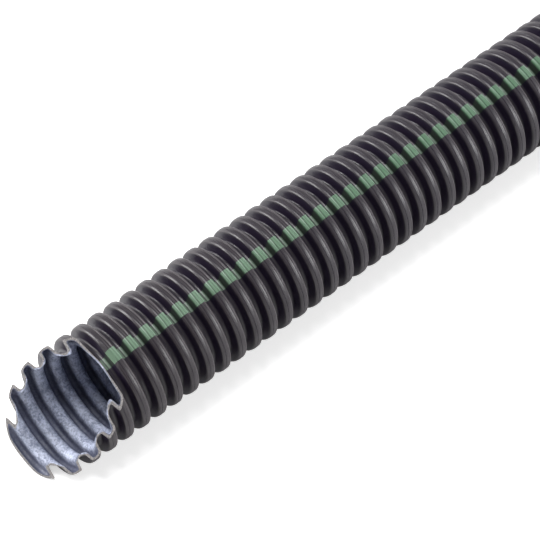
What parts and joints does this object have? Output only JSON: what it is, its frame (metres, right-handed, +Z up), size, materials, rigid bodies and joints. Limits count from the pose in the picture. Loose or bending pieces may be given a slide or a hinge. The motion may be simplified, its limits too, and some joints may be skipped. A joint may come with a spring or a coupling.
{
  "type": "corrugated conduit",
  "caption": "Pliable plastic conduit for cables, with a ringed single wall, a slip layer inside, a marking stripe and one slanted end.",
  "frame": {"origin": "on the floor under the middle of the conduit's length", "axes": "+X along the conduit from the slanted end to the square end, +Z up"},
  "size_m": [0.9976, 0.032, 0.032],
  "materials": {
    "outer_wall": "satin black extruded plastic, fine lines round the crests",
    "slip_layer": "matt mottled blue-grey sliding layer",
    "marking_stripe": "satin green stripe run into the wall",
    "cut_edge": "scraped pale edge of the saw cut"
  },
  "bodies": {
    "root": {"conduit": "outer_wall"}
  },
  "joints": []
}
